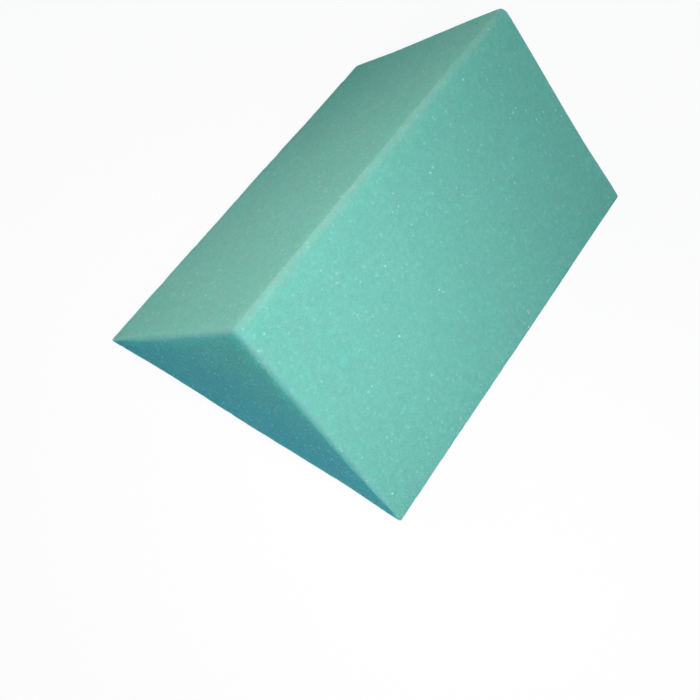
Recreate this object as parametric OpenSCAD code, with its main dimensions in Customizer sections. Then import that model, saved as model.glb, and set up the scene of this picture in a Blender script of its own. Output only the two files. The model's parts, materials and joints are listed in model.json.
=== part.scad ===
// Triangular filter sponge.
// One block of fine open-cell foam, cut from a slab by two bevel cuts that meet in a ridge.
// The block lies on its widest face, with the ridge on top, and its length runs along Y.
// The origin is the middle of the resting face, +Z is up, and sizes are in millimetres.

/* [Block] */
// Length of the block, along its ridge
block_length = 195; // [60:5:600]
// Width of the resting face, from toe to toe as if they were sharp
base_width = 150; // [80:5:300]
// Thickness of the foam slab, which is the height of the ridge as if it were sharp
slab_thickness = 80; // [40:5:150]

/* [Softened edges] */
// Radius of the ridge, where the two bevel cuts meet
ridge_radius = 3; // [0.5:0.25:6]
// Radius of the two thin toes, where a bevel cut meets the resting face
toe_radius = 0.5; // [0.25:0.25:2]
// Radius of the edges round the two square-cut ends
end_radius = 2; // [0.5:0.25:6]
// How far the round of an end edge would stand proud of the cut faces, which leaves a faint crease there
end_crease = 0.1; // [0.02:0.02:0.4]

/* [Hidden] */
$fn = 96;

foam_colour = [0.47, 0.79, 0.72];

// Half the width of the resting face, out to the sharp toe.
half_width = base_width / 2;
// Angle of each bevel cut, up from the resting face, in degrees.
bevel_angle = atan2(slab_thickness, half_width);
// How far the bars that round the ends run past the block, so that they touch its end edges alone.
reach = half_width + block_length;

// Centre of the circle that rounds the ridge: one radius from both bevelled faces.
ridge_centre = [0, slab_thickness - ridge_radius / cos(bevel_angle)];
// Centre of the circle that rounds a toe: one radius from the resting face and from the bevelled face.
toe_centre = [half_width - toe_radius / tan(bevel_angle / 2), toe_radius];
// Unit vector that points straight out of the bevelled face on the +X side.
bevel_normal = [sin(bevel_angle), cos(bevel_angle)];

function mirrored(p) = [-p[0], p[1]];

// Cross-section in X and Z: flat stretches between the points where the round edges start.
module section_outline() {
    right_side = [
        [toe_centre[0], 0],
        toe_centre + toe_radius * bevel_normal,
        ridge_centre + ridge_radius * bevel_normal,
    ];
    left_side = [for (i = [len(right_side) - 1 : -1 : 0]) mirrored(right_side[i])];
    polygon(concat(right_side, left_side));
    translate(ridge_centre) circle(r = ridge_radius);
    for (c = [toe_centre, mirrored(toe_centre)])
        translate(c) circle(r = toe_radius);
}

// The block with soft ridge and toes, and with sharp edges round its ends.
module sharp_ended_block() {
    rotate([90, 0, 0])
        linear_extrude(height = block_length, center = true)
            section_outline();
}

// A long bar with round edges, to be laid with its top just proud of a face of the block at height 0.
// Its round edges then cross that face and the block's two ends, and take the sharp edges off.
module end_rounder() {
    half_length = block_length / 2 + end_crease;
    flat_half = half_length - end_radius;
    rotate([90, 0, 90])
        linear_extrude(height = 2 * reach, center = true)
            translate([0, end_crease]) {
                translate([-flat_half, -reach]) square([2 * flat_half, reach]);
                translate([-half_length, -reach]) square([2 * half_length, reach - end_radius]);
                for (side = [-1, 1])
                    translate([side * flat_half, -end_radius]) circle(r = end_radius);
            }
}

module sponge_block() {
    color(foam_colour)
        intersection() {
            sharp_ended_block();
            // The end edges of the resting face.
            rotate([180, 0, 0]) end_rounder();
            // The end edges of the two bevelled faces.
            intersection_for(side = [-1, 1])
                translate([side * half_width, 0, 0])
                    rotate([0, side * bevel_angle, 0])
                        end_rounder();
        }
}

sponge_block();
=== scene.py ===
# %% [markdown]
# # A filter sponge
#
# The object is one block of fine open-cell foam, the kind that strains and cleans the water of a pond or
# an aquarium. It was cut from a flat slab: two slanting knife cuts meet in a ridge, and two square cuts
# make the ends. Nothing else belongs to it, so the whole lesson is about one thing: making a plain block
# look like foam.
#
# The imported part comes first. It is the fixed frame that everything else is measured from.

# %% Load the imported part
import json
import math

import bpy
import numpy as np
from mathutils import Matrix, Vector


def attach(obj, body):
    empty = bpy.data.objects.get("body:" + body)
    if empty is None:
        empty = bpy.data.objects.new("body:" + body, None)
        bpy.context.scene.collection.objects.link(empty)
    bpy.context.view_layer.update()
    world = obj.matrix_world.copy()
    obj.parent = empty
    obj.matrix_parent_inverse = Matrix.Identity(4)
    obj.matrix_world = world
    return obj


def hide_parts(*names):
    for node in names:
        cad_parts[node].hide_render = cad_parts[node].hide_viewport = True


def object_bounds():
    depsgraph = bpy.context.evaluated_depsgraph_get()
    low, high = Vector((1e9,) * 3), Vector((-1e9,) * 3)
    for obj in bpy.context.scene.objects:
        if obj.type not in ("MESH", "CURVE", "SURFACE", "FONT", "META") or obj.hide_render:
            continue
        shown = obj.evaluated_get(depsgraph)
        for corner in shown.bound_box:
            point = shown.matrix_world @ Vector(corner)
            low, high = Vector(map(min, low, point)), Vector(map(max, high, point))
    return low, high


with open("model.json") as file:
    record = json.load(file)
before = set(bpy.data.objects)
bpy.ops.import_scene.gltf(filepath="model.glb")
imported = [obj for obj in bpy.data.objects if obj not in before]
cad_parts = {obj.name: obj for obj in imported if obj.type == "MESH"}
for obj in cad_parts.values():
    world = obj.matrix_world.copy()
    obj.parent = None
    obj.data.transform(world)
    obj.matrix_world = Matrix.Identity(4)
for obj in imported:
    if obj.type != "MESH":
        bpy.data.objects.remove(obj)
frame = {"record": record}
cad_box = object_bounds()
print("packed part, in metres:", [tuple(round(c, 4) for c in corner) for corner in cad_box])

# %% [markdown]
# ## The sizes of the block
#
# The record that came with the part names the faces where the block can be set against something, with a
# point on each face and the direction that it looks in. A point and a direction make a plane, so the
# sharp triangle of the section can be read from them. The softness of its edges follows too: a rounded
# ridge is a little lower than a sharp one, and rounded toes are a little further in.

# %% Read the sizes from the frame
faces = {mount["name"]: mount for mount in frame["record"]["mounts"]}
bevel_out = np.array(faces["right_bevel"]["axis"])
bevel_reach = bevel_out @ np.array(faces["right_bevel"]["pos_m"])
half_width = bevel_reach / bevel_out[0]
ridge_height = bevel_reach / bevel_out[2]
half_length = faces["far_end"]["pos_m"][1]
bevel_angle = math.atan2(bevel_out[0], bevel_out[2])

ridge_radius = (ridge_height - cad_box[1].z) / (1 / math.cos(bevel_angle) - 1)
toe_radius = (half_width - cad_box[1].x) / (1 / math.tan(bevel_angle / 2) - 1)
print(f"section {2000 * half_width:.1f} x {1000 * ridge_height:.1f} mm")
print(f"length {2000 * half_length:.1f} mm")
print(f"ridge radius {1000 * ridge_radius:.2f} mm, toe radius {1000 * toe_radius:.2f} mm")

# %% [markdown]
# ## The camera
#
# The photograph looks down on the near end of the block, from the right. The camera stands where the
# three edges that meet at the near end of the ridge, and the three long outlines, fall where they do in
# the photograph. It comes early, because every later choice is judged through it.

# %% Place the camera
PICTURE_WIDTH = 700
FOCAL_PIXELS = 1043.4
SENSOR_WIDTH = 36
NEAREST_SEEN = 0.01
EYE = (0.1320, -0.2303, 0.3964)
EYE_AZIMUTH = math.radians(32.15)
EYE_ELEVATION = math.radians(60.88)
EYE_ROLL = math.radians(1.49)

camera_data = bpy.data.cameras.new("camera")
camera_data.sensor_width = SENSOR_WIDTH
camera_data.lens = SENSOR_WIDTH * FOCAL_PIXELS / PICTURE_WIDTH
camera_data.clip_start = NEAREST_SEEN
camera = bpy.data.objects.new("camera", camera_data)
camera.location = EYE
camera.rotation_euler = (math.pi / 2 - EYE_ELEVATION, 0, EYE_AZIMUTH)
camera.rotation_euler.rotate_axis("Z", EYE_ROLL)
bpy.context.scene.collection.objects.link(camera)
bpy.context.scene.camera = camera
print(f"lens {camera_data.lens:.1f} mm")

# %% [markdown]
# ## The outline of the cut
#
# A cube with bevelled edges could stand for the block, but its faces would be bare of points, and foam
# needs many points for its torn surface. So the block is a grid that is worked out with numpy. Its first
# parameter runs round the section.
#
# One circle touches all three cuts from inside. Its middle is the mean of the three corners, each
# weighted by the length of the side across from it, and it is used for all that is drawn inwards from the
# outline. The first use is to find the small arc at each corner: its centre lies on the way from the
# corner to that middle, and it turns from the direction that one cut looks in to the direction of the
# next.

# %% Find the corners and the inner circle
corners = np.array([(half_width, 0), (0, ridge_height), (-half_width, 0)])
corner_radii = np.array([toe_radius, ridge_radius, toe_radius])
side_lengths = np.linalg.norm(np.roll(corners, 1, 0) - np.roll(corners, -1, 0), axis=1)
middle = side_lengths @ corners / side_lengths.sum()
inner_radius = middle[1]
arc_centres = corners + (middle - corners) * (corner_radii / inner_radius)[:, None]

looks_down = -math.pi / 2
looks_right = math.pi / 2 - bevel_angle
looks_left = math.pi / 2 + bevel_angle
arc_from = np.array([looks_down, looks_right, looks_left])
arc_to = np.array([looks_right, looks_left, looks_down + 2 * math.pi])
print("inner circle of radius", round(1000 * inner_radius, 2), "mm")

# %% [markdown]
# ## The loop round the section
#
# The loop goes once round the section, from arc to arc along the straight cuts. It is divided into six
# halves, two for each corner, with the same number of steps in each. That makes the ends easy to fill
# later.

# %% Draw the loop
HALF_STEPS = 56
ARC_STEPS = (4, 6, 4)


def arc_point(corner, share):
    """Point on a corner's arc: its centre plus its radius times the unit vector at a share of its turn."""
    turn = arc_from[corner] + (arc_to[corner] - arc_from[corner]) * share
    return arc_centres[corner] + corner_radii[corner] * np.stack([np.cos(turn), np.sin(turn)], -1)


def half_side(corner, step):
    """From the middle of a corner's arc to the middle of the cut before it (-1) or after it (+1):
    equal steps of turn along half the arc, then equal steps of length along half the cut."""
    on_arc = ARC_STEPS[corner]
    arc = arc_point(corner, 0.5 + 0.5 * step * np.linspace(0, 1, on_arc + 1))
    start, neighbour = arc[-1], (corner + step) % 3
    far = arc_point(neighbour, np.array(0.5 - 0.5 * step))
    along = np.linspace(0, 0.5, HALF_STEPS - on_arc + 1)[1:, None]
    return np.concatenate([arc, start + (far - start) * along])


halves = [(half_side(corner, -1), half_side(corner, 1)) for corner in range(3)]
loop = np.concatenate([np.concatenate([before[:0:-1], after[:-1]]) for before, after in halves])
print(len(loop), "points round the section")

# %% [markdown]
# ## The long skin
#
# The second parameter runs along the block. An outline that is set in by some depth is the same loop
# drawn in towards the middle of its inner circle, because that point is equally far from all three cuts.
# So the soft edge of an end is a few rings whose depth and place follow a quarter circle, and the long
# faces are rings of full size. The foam is thin at the toes, and the edge is sharper there, so the radius
# of that quarter circle grows along the outline.

# %% Carry the outline along the block
END_RADIUS = 0.003
TOE_END_RADIUS = 0.0007
TOE_REACH = 0.025
EDGE_STEPS = 5
LENGTH_STEPS = 186


def end_radius(outline):
    """Radius of the end edge at each point: from the toe's to the full one, by 3t^2 - 2t^3 of the way."""
    way = np.clip((half_width - np.abs(outline[:, 0])) / TOE_REACH, 0, 1)
    return TOE_END_RADIUS + (END_RADIUS - TOE_END_RADIUS) * way ** 2 * (3 - 2 * way)


def set_in(outline, share):
    """Each point moved to the middle by depth / inner radius, where depth is a share of the end radius."""
    depth = share * end_radius(outline)[:, None]
    return middle + (outline - middle) * (1 - depth / inner_radius)


turns = np.linspace(0, math.pi / 2, EDGE_STEPS + 1)
edge_rings = np.stack([set_in(loop, 1 - math.sin(turn)) for turn in turns])
edge_places = end_radius(loop) * (1 - np.cos(turns))[:, None] - half_length
along = np.linspace(1, -1, LENGTH_STEPS + 1)[1:-1, None]
straight_places = edge_places[-1] * along
straight_rings = np.repeat(loop[None], len(along), 0)

rings = np.concatenate([edge_rings, straight_rings, edge_rings[::-1]])
places = np.concatenate([edge_places, straight_places, -edge_places[::-1]])
skin = np.stack([rings[..., 0], places, rings[..., 1]], -1)
skin = np.concatenate([skin, skin[:, :1]], axis=1)
print("long skin:", skin.shape[0], "rings of", skin.shape[1] - 1, "points")

# %% [markdown]
# ## The two end cuts
#
# A fan of thin triangles round one middle point would pinch. Instead each end is three patches of even
# squares, one for each corner. Two sides of a patch are the two halves of the loop at that corner, and
# the other two are straight lines to the middle. A patch blends its four sides: the sum of both pairs of
# opposite sides, each weighted by nearness, less the four corners that were counted twice.

# %% Fill the ends
share = np.linspace(0, 1, HALF_STEPS + 1)


def end_patch(corner):
    """Blend of four sides: (1-v) low(u) + v high(u) + (1-u) left(v) + u right(v), less their corners."""
    left, low = (set_in(side, 1) for side in halves[corner])
    high = left[-1] + (middle - left[-1]) * share[:, None]
    right = low[-1] + (middle - low[-1]) * share[:, None]
    u, v = share[:, None, None], share[None, :, None]
    sides = (1 - v) * low[:, None] + v * high[:, None] + (1 - u) * left[None] + u * right[None]
    twice = (1 - u) * (1 - v) * low[0] + u * (1 - v) * low[-1] + (1 - u) * v * left[-1] + u * v * middle
    return sides - twice


def stand_up(patch, place):
    """The flat patch's two coordinates as X and Z, at one place along the block."""
    return np.stack([patch[..., 0], np.full(patch.shape[:2], place), patch[..., 1]], -1)


patches = [end_patch(corner) for corner in range(3)]
near_ends = [stand_up(patch, -half_length) for patch in patches]
far_ends = [stand_up(patch, half_length).swapaxes(0, 1) for patch in patches]
print("ends:", 2 * len(patches), "patches of", HALF_STEPS, "by", HALF_STEPS, "squares")

# %% [markdown]
# ## One closed block
#
# The skin and the patches share the points along their borders. Each grid is turned into squares, and
# then points that lie in the same place become one point. After that there is no border left, and the
# block is watertight.

# %% Join the grids
SAME_PLACE = 1e-7


def grid_squares(rows, columns, first):
    """Corner numbers of each square of a grid of rows x columns points, numbered from first."""
    number = first + np.arange(rows * columns).reshape(rows, columns)
    turn_round = [number[:-1, :-1], number[1:, :-1], number[1:, 1:], number[:-1, 1:]]
    return np.stack(turn_round, -1).reshape(-1, 4)


grids = [skin, *near_ends, *far_ends]
firsts = np.cumsum([0] + [grid.shape[0] * grid.shape[1] for grid in grids])
squares = np.concatenate([grid_squares(*grid.shape[:2], first) for grid, first in zip(grids, firsts)])
points = np.concatenate([grid.reshape(-1, 3) for grid in grids])
rounded = np.round(points / SAME_PLACE).astype(np.int64)
_, kept, joined = np.unique(rounded, axis=0, return_index=True, return_inverse=True)
points = points[kept]
squares = joined.reshape(-1)[squares]
print(len(points), "points and", len(squares), "squares in one closed surface")

# %% [markdown]
# ## The way out, and the worn and sheeny edges
#
# Two measures steer what follows. The first is the direction that the surface looks in at each point,
# which is the sum of the normals of the squares round it. Its part along the block tells the end cuts
# from the long ones, and a high power makes that mark sharp. The second is a mask of wear and painted
# sheen. It is partly wear from hands and box walls, which rub the ridge most and the edges of the ends a
# little, and partly a pale painted band where these rounded edges catch the light. The mask is largest at
# these edges and fades out some millimetres away from them. The volume comes out of the same numbers: each
# square is the base of a pyramid with its tip at the origin.

# %% Measure directions and wear
WEAR_AND_SHEEN_REACH = 0.006
END_WEAR_AND_SHEEN = 0.4
END_CUT_POWER = 14


def nearness(distance):
    """Falls from 1 at the edge to 0 at the reach of the wear and sheen: 1 - (3t^2 - 2t^3) of the share of
    it.
    """
    share_of_reach = np.clip(distance / WEAR_AND_SHEEN_REACH, 0, 1)
    return 1 - share_of_reach ** 2 * (3 - 2 * share_of_reach)


quads = points[squares]
across = np.cross(quads[:, 2] - quads[:, 0], quads[:, 3] - quads[:, 1])
outward = np.stack(
    [np.bincount(squares.ravel(), np.repeat(across[:, axis], 4), len(points)) for axis in range(3)], -1)
outward /= np.linalg.norm(outward, axis=1, keepdims=True)

end_cut = np.abs(outward[:, 1]) ** END_CUT_POWER
from_ridge = np.hypot(points[:, 0], points[:, 2] - ridge_height)
from_ends = half_length - np.abs(points[:, 1])
# Mask of wear and painted sheen: partly worn edges, partly a pale painted band where the rounded edges
# catch the light.
edge_wear_and_sheen = np.maximum(nearness(from_ridge), END_WEAR_AND_SHEEN * nearness(from_ends)) * (1 - end_cut)
areas_out = across / 2
volume = np.sum(quads.mean(1) * areas_out) / 3
print(f"volume {1e6 * volume:.1f} cubic centimetres")

# %% [markdown]
# ## The knife's wave
#
# Foam gives way under the knife, so a cut face is never quite flat: it has a faint slow wave. A sine
# would repeat and look machined. Noise on a lattice of random numbers doesn't, and it is seeded, so that
# it is the same each time.

# %% Make noise on a lattice


def lattice_noise(grain, seed):
    """Random numbers from -1 to 1 on a cubic lattice of spacing grain, eased in between by 3t^2 - 2t^3."""
    low = points.min(0) - grain
    size = np.ceil((points.max(0) - low) / grain).astype(int) + 2
    lattice = np.random.default_rng(seed).uniform(-1, 1, size)
    cell = (points - low) / grain
    base = np.floor(cell).astype(int)
    ease = (cell - base) ** 2 * (3 - 2 * (cell - base))
    total = np.zeros(len(points))
    for step in np.ndindex(2, 2, 2):
        weight = np.prod(np.where(step, ease, 1 - ease), axis=1)
        total += weight * lattice[tuple((base + step).T)]
    return total


WAVE_GRAIN = 0.038
WAVE_HEIGHT = 0.00016
wave = WAVE_HEIGHT * lattice_noise(WAVE_GRAIN, seed=1)
print(f"knife wave up to {1000 * np.abs(wave).max():.2f} mm")

# %% [markdown]
# ## Torn cells and a soft ridge
#
# The blade also tears the cells a little everywhere, and where it took out a small group of them it
# leaves a shallow pit. A bump in the material would show that too, but not along an outline, so it goes
# into the mesh. Towards the ridge, which gets handled most, both bevels roll off a little. The face that
# the block rests on only gets pits, and stays on the ground.

# %% Rough up the cut faces
TEAR_GRAIN = 0.0055
FINE_TEAR_GRAIN = 0.0026
TEAR_HEIGHT = 0.00005
PIT_GRAIN = 0.0032
PIT_FROM = 0.45
PIT_DEPTH = 0.0002
ROLL_DEPTH = 0.00035
ROLL_REACH = 0.010
DOWNWARD = -0.9

tear = TEAR_HEIGHT * (lattice_noise(TEAR_GRAIN, seed=2) + lattice_noise(FINE_TEAR_GRAIN, seed=3))
pits = PIT_DEPTH * np.clip((lattice_noise(PIT_GRAIN, seed=4) - PIT_FROM) / (1 - PIT_FROM), 0, 1)
roll_off = ROLL_DEPTH * np.clip(1 - from_ridge / ROLL_REACH, 0, 1) ** 2
relief = wave + tear - pits - roll_off
rests = outward[:, 2] < DOWNWARD
relief[rests] = np.minimum(relief[rests], 0)
points += outward * relief[:, None]
print(f"relief from {1000 * relief.min():.2f} to {1000 * relief.max():.2f} mm")

# %% [markdown]
# ## The mesh
#
# The arrays go into a Blender mesh in one step each, with no loop over points. The mask of wear and
# painted sheen and the mark of the end cuts go along as attributes of each point, so that the material can
# find them. The new piece then takes the place of the plain solid and rides on the part's only body.

# %% Make the sponge block
mesh = bpy.data.meshes.new("foam_block")
mesh.from_pydata(points, [], squares)
for name, values in (("edge_wear_and_sheen", edge_wear_and_sheen), ("end_cut", end_cut)):
    attribute = mesh.attributes.new(name, "FLOAT", "POINT")
    attribute.data.foreach_set("value", values.astype(np.float32))
mesh.polygons.foreach_set("use_smooth", np.ones(len(squares), bool))
mesh.update()
block = bpy.data.objects.new("foam_block", mesh)
bpy.context.scene.collection.objects.link(block)
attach(block, "root")
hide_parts("sponge_block")
print("foam block:", len(mesh.vertices), "vertices,", 2 * len(mesh.polygons), "triangles")

# %% [markdown]
# ## A kit for node trees
#
# Materials are trees of nodes. A few helpers keep them short: one makes a node and fills its inputs,
# either with a link from another node's output or with a plain value, and the others each stand for a
# node that is needed often: a smooth step, a mix of two colours and a piece of arithmetic. Each of those
# gives back its output, so that they can be put into one another like functions.

# %% Node helpers


def add(tree, kind, inputs=None, **settings):
    """A new node of that kind, with its settings, and with a link or a plain value on each given input."""
    made = tree.nodes.new(kind)
    for name, value in settings.items():
        setattr(made, name, value)
    for socket, value in (inputs or {}).items():
        if isinstance(value, bpy.types.NodeSocket):
            tree.links.new(value, made.inputs[socket])
        else:
            made.inputs[socket].default_value = value
    return made


def ramp(tree, source, low, high, to_low=0.0, to_high=1.0):
    """Output of a smooth step from to_low, where the source is low, to to_high, where it is high."""
    limits = {"Value": source, "From Min": low, "From Max": high, "To Min": to_low, "To Max": to_high}
    return add(tree, "ShaderNodeMapRange", limits, interpolation_type="SMOOTHSTEP").outputs["Result"]


def blend(tree, factor, first, second, kind="MIX"):
    """Output colour of a mix of two colours. They go in at 6 and 7, and the mix comes out at 2."""
    mixed = {"Factor": factor, 6: first, 7: second}
    return add(tree, "ShaderNodeMix", mixed, data_type="RGBA", blend_type=kind).outputs[2]


def work_out(tree, operation, *values):
    """Output of a piece of arithmetic on one value or more."""
    return add(tree, "ShaderNodeMath", dict(enumerate(values)), operation=operation).outputs["Value"]


print("node helpers for Blender", bpy.app.version_string)

# %% [markdown]
# ## Open cells
#
# Seen close, the foam is a froth of cells that are open to each other: thin bright struts round dark
# pores. Blender's cell texture divides space in the same way as a froth does. Its distance to the nearest
# wall draws the struts, its distance to the cell's own point finds the middle of the pore, and its colour
# is a number that each cell draws by chance. The group gives these three, and the material uses it at
# more than one size.

# %% Build the cell group
STRUT_REACH = 0.28
MIDDLE_REACH = 0.55

cells_group = bpy.data.node_groups.new("open_cells", "ShaderNodeTree")
for name, kind in (("Place", "NodeSocketVector"), ("Cells per Metre", "NodeSocketFloat")):
    cells_group.interface.new_socket(name, in_out="INPUT", socket_type=kind)
for name in ("Strut", "Middle", "Chance"):
    cells_group.interface.new_socket(name, in_out="OUTPUT", socket_type="NodeSocketFloat")

given = add(cells_group, "NodeGroupInput").outputs
froth = {"Vector": given["Place"], "Scale": given["Cells per Metre"]}
walls = add(cells_group, "ShaderNodeTexVoronoi", froth, feature="DISTANCE_TO_EDGE").outputs
pores = add(cells_group, "ShaderNodeTexVoronoi", froth, feature="F1").outputs
drawn = add(cells_group, "ShaderNodeSeparateColor", {"Color": pores["Color"]}).outputs
add(cells_group, "NodeGroupOutput", {
    "Strut": ramp(cells_group, walls["Distance"], 0.0, STRUT_REACH, 1.0, 0.0),
    "Middle": ramp(cells_group, pores["Distance"], 0.0, MIDDLE_REACH, 1.0, 0.0),
    "Chance": drawn["Red"],
})
print("cell group with", len(cells_group.nodes), "nodes")

# %% [markdown]
# ## What the foam material reads
#
# The material starts with what it knows of each point of the block: its place, its height above the
# resting face, its mask of wear and painted sheen, and whether it lies on an end cut, where the foam is
# torn. Two froths of cells fill the place: small cells for the struts and pores, and larger ones for what
# differs from one spot to the next. The lattice behind the cells is turned, so that no face of the block
# cuts it in rows.

# %% Start the foam material
CELL = 0.0008
GLINT_CELL = 0.0014
CELL_TURN = (0.5, 0.3, 0.7)

foam = bpy.data.materials.new("turquoise_foam")
foam.use_nodes = True
foam_tree = foam.node_tree
place = add(foam_tree, "ShaderNodeTexCoord").outputs["Object"]
height = add(foam_tree, "ShaderNodeSeparateXYZ", {"Vector": place}).outputs["Z"]
wear_and_sheen = add(foam_tree, "ShaderNodeAttribute", attribute_name="edge_wear_and_sheen").outputs["Fac"]
torn = add(foam_tree, "ShaderNodeAttribute", attribute_name="end_cut").outputs["Fac"]
turned = add(foam_tree, "ShaderNodeMapping", {"Vector": place, "Rotation": CELL_TURN}).outputs["Vector"]


def cells(size):
    """Outputs of the cell group for cells of that size, the spacing of the lattice behind them."""
    inputs = {"Place": turned, "Cells per Metre": 1 / size}
    return add(foam_tree, "ShaderNodeGroup", inputs, node_tree=cells_group).outputs


fine = cells(CELL)
windows = cells(GLINT_CELL)
print(f"foam cells of {1000 * CELL:.1f} mm, windows in cells of {1000 * GLINT_CELL:.1f} mm")

# %% [markdown]
# ## Glints
#
# Here and there a cell still has a thin window across it, which catches the light as a white glint. Here
# the glints are painted highlights, laid into the colour. White dots of one brightness would look like
# paint. On the real foam many glints are faint and few are bright, as the logarithm of an even chance
# gives: the less likely a window is, the brighter its painted highlight. The end cuts get more of these
# painted highlights, and they are smaller and brighter.

# %% Let some windows shine
SHARE_SHOWN = 0.19
TORN_SHARE_SHOWN = 0.45
SHARE_BRIGHTEST = 0.0003
TORN_SPOT_POWER = 2.2
TORN_GLINT_GAIN = 4.5

share_left = work_out(foam_tree, "SUBTRACT", 1.0, windows["Chance"])
strength = add(foam_tree, "ShaderNodeMapRange", {
    "Value": work_out(foam_tree, "LOGARITHM", share_left, math.e),
    "From Min": ramp(foam_tree, torn, 0.0, 1.0, math.log(SHARE_SHOWN), math.log(TORN_SHARE_SHOWN)),
    "From Max": math.log(SHARE_BRIGHTEST),
}).outputs["Result"]
narrowing = ramp(foam_tree, torn, 0.0, 1.0, 1.0, TORN_SPOT_POWER)
spot = work_out(foam_tree, "POWER", windows["Middle"], narrowing)
gain = ramp(foam_tree, torn, 0.0, 1.0, 1.0, TORN_GLINT_GAIN)
glint = work_out(foam_tree, "MULTIPLY", work_out(foam_tree, "MULTIPLY", strength, spot), gain)
print(f"windows show in {SHARE_SHOWN:.0%} of the cells, and in {TORN_SHARE_SHOWN:.0%} on the end cuts")

# %% [markdown]
# ## Turquoise
#
# The dye goes right through the foam, so the colour is the same all over, a little darker in the pores
# and lighter on the struts. One flat colour would look like plastic, so spots differ by a few hundredths
# in tone, and so do larger clouds. The torn foam of the end cuts has darker pores and lighter struts than
# the long cuts have. Its colours are also less red and bluer, which is painted shade for the cooler light
# that falls on the ends.

# %% Mix the dye
PORE = (0.168, 0.557, 0.472, 1)
STRUT = (0.215, 0.628, 0.535, 1)
# Painted shade: the end-cut colours are less red and bluer than the long cuts' colours, for the cooler
# light on the ends.
TORN_SHADED_PORE = (0.102, 0.508, 0.468, 1)
TORN_SHADED_STRUT = (0.192, 0.688, 0.654, 1)
SPOT_TONES = (0.97, 1.03)
CLOUD_SIZE = 0.004
CLOUD_DETAIL = 2.0
CLOUD_NOISE = (0.3, 0.7)
CLOUD_TONES = (0.985, 1.015)

pore = blend(foam_tree, torn, PORE, TORN_SHADED_PORE)
strut = blend(foam_tree, torn, STRUT, TORN_SHADED_STRUT)
colour = blend(foam_tree, fine["Strut"], pore, strut)
spot_tone = ramp(foam_tree, windows["Chance"], 0.0, 1.0, *SPOT_TONES)
colour = blend(foam_tree, 1.0, colour, spot_tone, "MULTIPLY")
clouds = {"Vector": place, "Scale": 1 / CLOUD_SIZE, "Detail": CLOUD_DETAIL}
cloud = add(foam_tree, "ShaderNodeTexNoise", clouds).outputs["Fac"]
colour = blend(foam_tree, 1.0, colour, ramp(foam_tree, cloud, *CLOUD_NOISE, *CLOUD_TONES), "MULTIPLY")
print("dye from", PORE[:3], "in the pores to", STRUT[:3], "on the struts")

# %% [markdown]
# ## Painted light and shade on the end cuts, and the edges
#
# The end cuts have painted light and shade: they get darker and bluer towards the resting face and
# lighter and warmer towards the top, so their colour is multiplied by a tint that follows the height. The
# worn edges and the rounded ridge are mixed with a pale, dusty colour, by the mask of wear and painted
# sheen that the mesh carries. The glints, which are painted highlights, lie over all of it.

# %% Paint light and shade on the ends, the sheen and wear, and the glints
SHADED_END_FOOT_TINT = (0.82, 0.91, 0.97, 1)
LIT_END_TOP_TINT = (1.24, 1.13, 1.04, 1)
END_SHADE_HEIGHTS = (0.005, 0.070)
END_SHADE_FROM = 0.6
FADED_SHEEN = (0.43, 0.32, 0.34, 1)
WEAR_AND_SHEEN_SHARE = 0.22
# Painted highlight colours: on the end cuts they are less red, painted in the cooler light that falls
# there.
GLINT = (0.60, 1.00, 0.95, 1)
TORN_GLINT = (0.42, 1.00, 0.98, 1)

# Painted light and shade: the end cuts darker and bluer low down, lighter and warmer high up.
painted_end_light_and_shade = blend(foam_tree, ramp(foam_tree, height, *END_SHADE_HEIGHTS), SHADED_END_FOOT_TINT, LIT_END_TOP_TINT)
colour = blend(foam_tree, ramp(foam_tree, torn, END_SHADE_FROM, 1.0), colour, painted_end_light_and_shade, "MULTIPLY")
# Painted sheen and wear: the ridge and end edges are mixed towards a pale, dusty colour.
colour = blend(foam_tree, work_out(foam_tree, "MULTIPLY", wear_and_sheen, WEAR_AND_SHEEN_SHARE), colour, FADED_SHEEN)
colour = blend(foam_tree, glint, colour, blend(foam_tree, torn, GLINT, TORN_GLINT))
print("foam colours with", len(foam_tree.nodes), "nodes")

# %% [markdown]
# ## Light in the foam
#
# The struts stand up a little, which a bump shows, and the foam is matt all over but for the windows.
# Light also sinks into it and comes out again some millimetres away, further in green and blue than in
# red, so the material scatters light under its surface. That is what makes the edges of the block look
# soft. Close to the resting face the light goes less far, because the toes are thin there and would let
# too much of it out.

# %% Set the surface of the foam
BUMP_STRENGTH = 0.25
STRUT_HEIGHT = 0.0003
FOAM_ROUGHNESS = 0.95
WINDOW_ROUGHNESS = 0.45
FOAM_GLOSS = 0.12
SCATTER_REACH = 0.014
TOE_SCATTER_REACH = 0.004
TOE_HEIGHT = 0.015
SCATTER_BY_COLOUR = (0.3, 1.0, 0.75)

struts_up = {"Height": fine["Strut"], "Strength": BUMP_STRENGTH, "Distance": STRUT_HEIGHT}
surface = {
    "Base Color": colour,
    "Normal": add(foam_tree, "ShaderNodeBump", struts_up).outputs["Normal"],
    "Roughness": ramp(foam_tree, glint, 0.0, 1.0, FOAM_ROUGHNESS, WINDOW_ROUGHNESS),
    "Subsurface Scale": ramp(foam_tree, height, 0.0, TOE_HEIGHT, TOE_SCATTER_REACH, SCATTER_REACH),
}
shader = foam_tree.nodes["Principled BSDF"]
for name, source in surface.items():
    foam_tree.links.new(source, shader.inputs[name])
shader.inputs["Subsurface Weight"].default_value = 1.0
shader.inputs["Subsurface Radius"].default_value = SCATTER_BY_COLOUR
shader.inputs["Specular IOR Level"].default_value = FOAM_GLOSS
block.data.materials.append(foam)
print("foam material with", len(foam_tree.nodes), "nodes")

# %% [markdown]
# ## The floor
#
# The photograph shows the block on plain white. A large flat sheet under it takes its shadow. The sheet
# lies a little lower than the resting face, so that the two never share a plane.

# %% Lay the floor
FLOOR_HALF = 3.0
FLOOR_DROP = 0.0002

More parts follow.
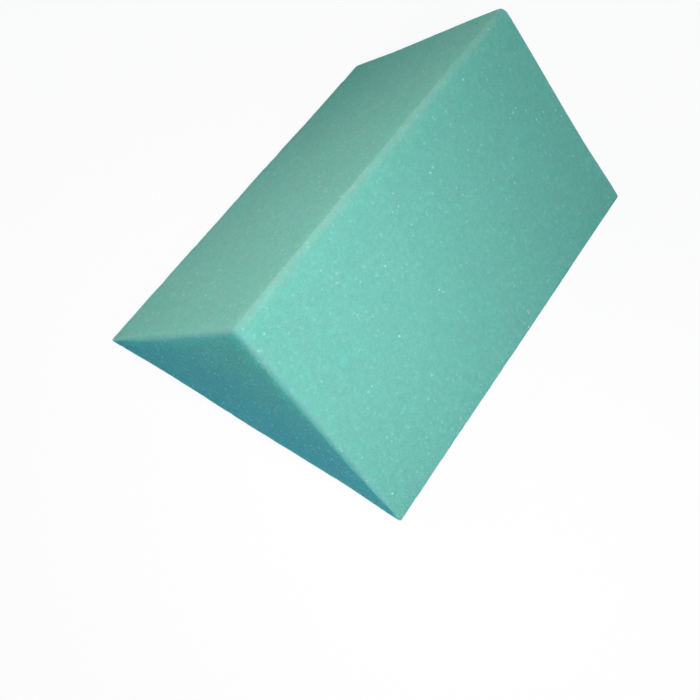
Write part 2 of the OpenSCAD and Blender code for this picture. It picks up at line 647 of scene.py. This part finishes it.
square = np.array([(-1, -1, 0), (1, -1, 0), (1, 1, 0), (-1, 1, 0)])
floor_corners = FLOOR_HALF * square - (0, 0, FLOOR_DROP)
floor_mesh = bpy.data.meshes.new("floor")
floor_mesh.from_pydata(floor_corners, [], [(0, 1, 2, 3)])
floor = bpy.data.objects.new("floor", floor_mesh)
bpy.context.scene.collection.objects.link(floor)
print(f"floor {2 * FLOOR_HALF:.0f} m wide")

# %% [markdown]
# ## The white sheet
#
# A floor lit until it is white would throw too much light back at the block. So the sheet is a cool grey
# for all light that bounces, and for rays that come straight from the camera it glows white for the most
# part, with a faint shadow left. Further out it fades to pure white, and then no horizon shows against
# the world behind it.

# %% Make the white sheet
WHITE = (1, 1, 1, 1)
FLOOR_COLOUR = (0.46, 0.56, 0.66, 1)
FLOOR_GLOW = 0.93
FADE_FROM = 0.45
FADE_TO = 1.20


def seen_directly(tree):
    """Output that is 1 for rays from the camera, off a gloss or through glass, and 0 for other light."""
    ray = add(tree, "ShaderNodeLightPath").outputs
    shiny = work_out(tree, "MAXIMUM", ray["Is Glossy Ray"], ray["Is Transmission Ray"])
    return work_out(tree, "MAXIMUM", ray["Is Camera Ray"], shiny)


def shade_by_ray(tree, factor, lighting, shown, target):
    """Links a mix of two shaders to the target: lighting where the factor is 0, shown where it is 1."""
    mixed = add(tree, "ShaderNodeMixShader", {"Fac": factor, 1: lighting, 2: shown})
    tree.links.new(mixed.outputs["Shader"], target)


sheet = bpy.data.materials.new("white_sheet")
sheet.use_nodes = True
sheet_tree = sheet.node_tree
sheet_tree.nodes.remove(sheet_tree.nodes["Principled BSDF"])
seen = seen_directly(sheet_tree)
floor_place = add(sheet_tree, "ShaderNodeTexCoord").outputs["Object"]
away = add(sheet_tree, "ShaderNodeVectorMath", {0: floor_place}, operation="LENGTH").outputs["Value"]
glow_share = ramp(sheet_tree, away, FADE_FROM, FADE_TO, FLOOR_GLOW, 1.0)
whiten = work_out(sheet_tree, "MULTIPLY", seen, glow_share)
paper = add(sheet_tree, "ShaderNodeBsdfDiffuse", {"Color": blend(sheet_tree, seen, FLOOR_COLOUR, WHITE)})
glow = add(sheet_tree, "ShaderNodeEmission", {"Color": WHITE, "Strength": 1.0})
sheet_out = sheet_tree.nodes["Material Output"].inputs["Surface"]
shade_by_ray(sheet_tree, whiten, paper.outputs["BSDF"], glow.outputs["Emission"], sheet_out)
floor.data.materials.append(sheet)
print(f"white sheet that fades out from {FADE_FROM} to {FADE_TO} m away")

# %% [markdown]
# ## The world
#
# The world does the same: the camera sees it as white, and the block gets an even, soft light from it.
# That light is cool in front of the block and greener behind it, as in a room with a window on one side.

# %% Set the world
FRONT_AMBIENT = (0.136, 0.249, 0.298, 1)
BACK_AMBIENT = (0.127, 0.241, 0.160, 1)
TURN_OVER = 0.3

world = bpy.data.worlds.new("studio")
bpy.context.scene.world = world
world.use_nodes = True
world_tree = world.node_tree
way = add(world_tree, "ShaderNodeTexCoord").outputs["Generated"]
backward = add(world_tree, "ShaderNodeSeparateXYZ", {"Vector": way}).outputs["Y"]
turn = ramp(world_tree, backward, -TURN_OVER, TURN_OVER)
sky = world_tree.nodes["Background"]
world_tree.links.new(blend(world_tree, turn, FRONT_AMBIENT, BACK_AMBIENT), sky.inputs["Color"])
white = add(world_tree, "ShaderNodeBackground", {"Color": WHITE, "Strength": 1.0})
world_out = world_tree.nodes["World Output"].inputs["Surface"]
seen = seen_directly(world_tree)
shade_by_ray(world_tree, seen, sky.outputs["Background"], white.outputs["Background"], world_out)
print("world: light of", FRONT_AMBIENT[:3], "in front and", BACK_AMBIENT[:3], "behind")

# %% [markdown]
# ## Light
#
# The right bevel is the brightest face and fades towards the far end and the toe, so the main light
# stands above it, close to the plane of the near end. A second light shines on the left bevel from
# further away. Both are warm. Their beams are narrowed and aimed at the near half of the block, the
# second one a little above the ridge, so that the toe gets less. The near end gets little of either: the
# world lights it, and that light is cooler. A low, cool light behind the block does as much for the far
# end.

# %% Hang the lamps


def lamp(name, place, aim, size, power, colour, spread=math.pi):
    """A square area lamp that stands at place and shines towards aim, within an angle of spread."""
    data = bpy.data.lights.new(name, "AREA")
    data.size = size
    data.energy = power
    data.spread = spread
    data.color = colour
    made = bpy.data.objects.new(name, data)
    made.location = place
    direction = np.array(aim) - np.array(place)
    flat = math.hypot(direction[0], direction[1])
    made.visible_camera = False
    made.rotation_euler = (math.atan2(flat, -direction[2]), 0, math.atan2(-direction[0], direction[1]))
    bpy.context.scene.collection.objects.link(made)


lamp("main_light", place=(0.17, -0.11, 0.283), aim=(0.03, -0.06, 0.05), size=0.08, power=0.437,
     colour=(1.0, 0.83, 0.875), spread=2.4)
lamp("left_light", place=(-0.40, -0.13, 0.30), aim=(0.0, -0.07, 0.14), size=0.20, power=0.254,
     colour=(1.0, 0.71, 0.66), spread=1.2)
lamp("back_light", place=(0.0, 1.0, 0.08), aim=(0.0, 0.0, 0.03), size=0.15, power=1.9,
     colour=(0.66, 0.58, 1.0))
bpy.context.scene.view_settings.view_transform = "Standard"
print("lamps:", [light.name for light in bpy.data.lights])
